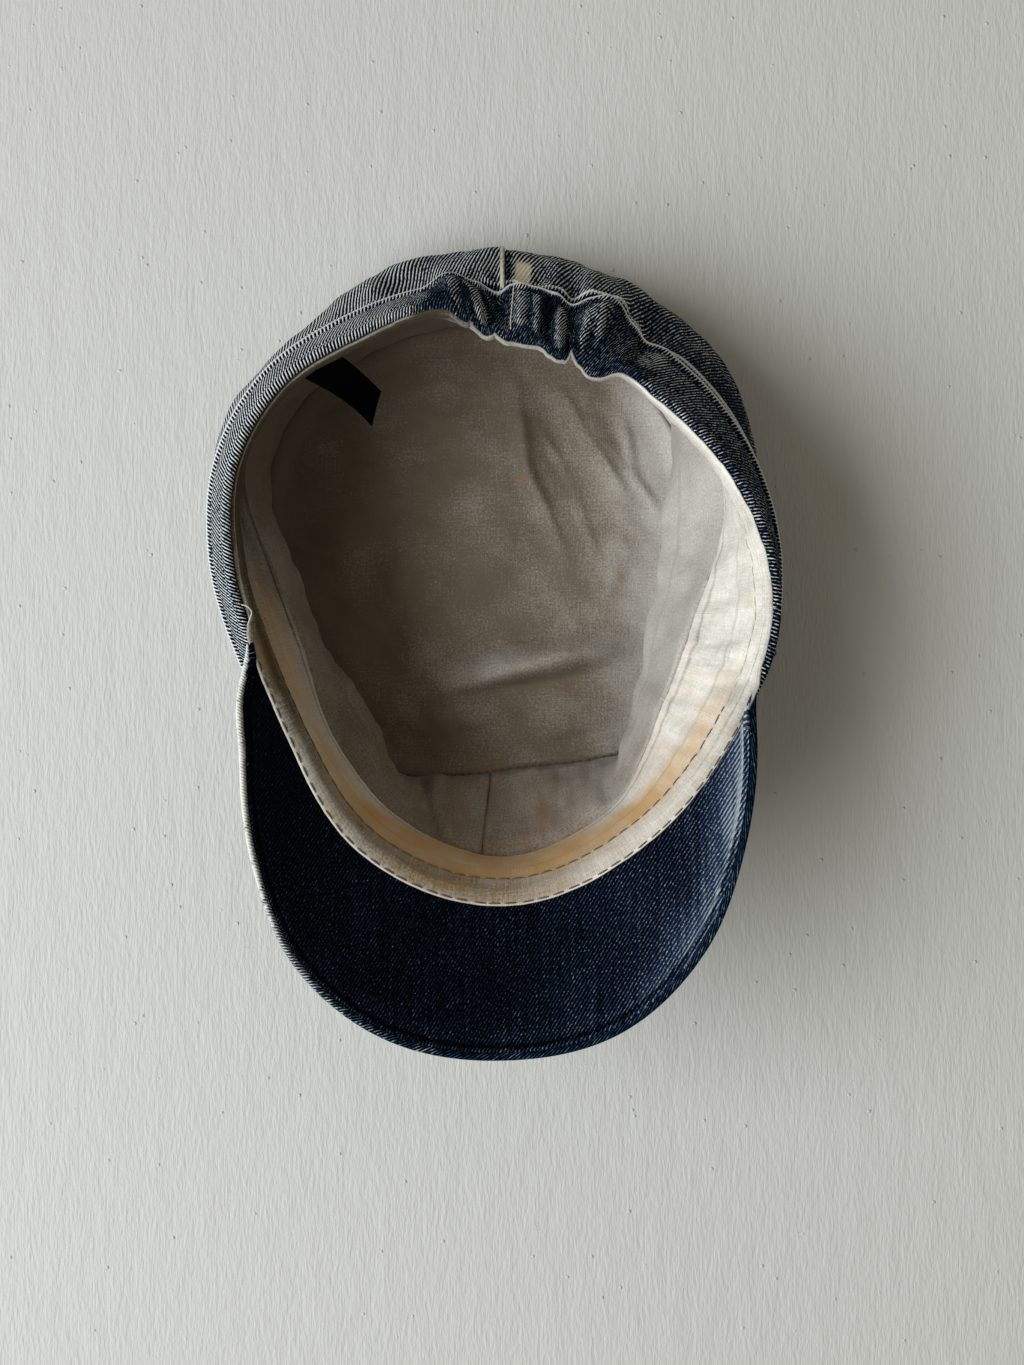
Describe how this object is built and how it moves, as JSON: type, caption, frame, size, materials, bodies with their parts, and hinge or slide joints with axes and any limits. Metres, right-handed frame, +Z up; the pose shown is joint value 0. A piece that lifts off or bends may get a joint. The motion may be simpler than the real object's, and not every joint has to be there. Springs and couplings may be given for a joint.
{
  "type": "cadet cap",
  "caption": "Washed denim cadet cap lying on its flat crown, opening up: short curved peak, band with a gathered elastic back, loose cotton lining and sweatband.",
  "frame": {"origin": "on the underside of the crown's flat top, which lies on the floor, under the middle of the rim", "axes": "+Z up out of the opening (the cap lies upside down), +Y towards the gathered back, -Y towards the peak, +X to the right in the picture"},
  "size_m": [0.1959, 0.2772, 0.0969],
  "materials": {
    "denim": "washed indigo twill, seams worn pale",
    "dark_denim": "dark indigo twill, hardly faded",
    "cream_cotton": "plain cream cotton, stained tan at the front",
    "lining_cotton": "plain grey-brown weave, creased",
    "black_label": "black satin ribbon, bare"
  },
  "bodies": {
    "root": {"crown_top": "denim", "crown_side_left": "denim", "crown_side_right": "denim", "band": "denim", "peak_top": "denim", "peak_under": "dark_denim", "sweatband": "cream_cotton", "seam_tape": "cream_cotton", "lining_side_left": "lining_cotton", "lining_side_right": "lining_cotton", "lining_top": "lining_cotton", "label": "black_label"}
  },
  "joints": []
}
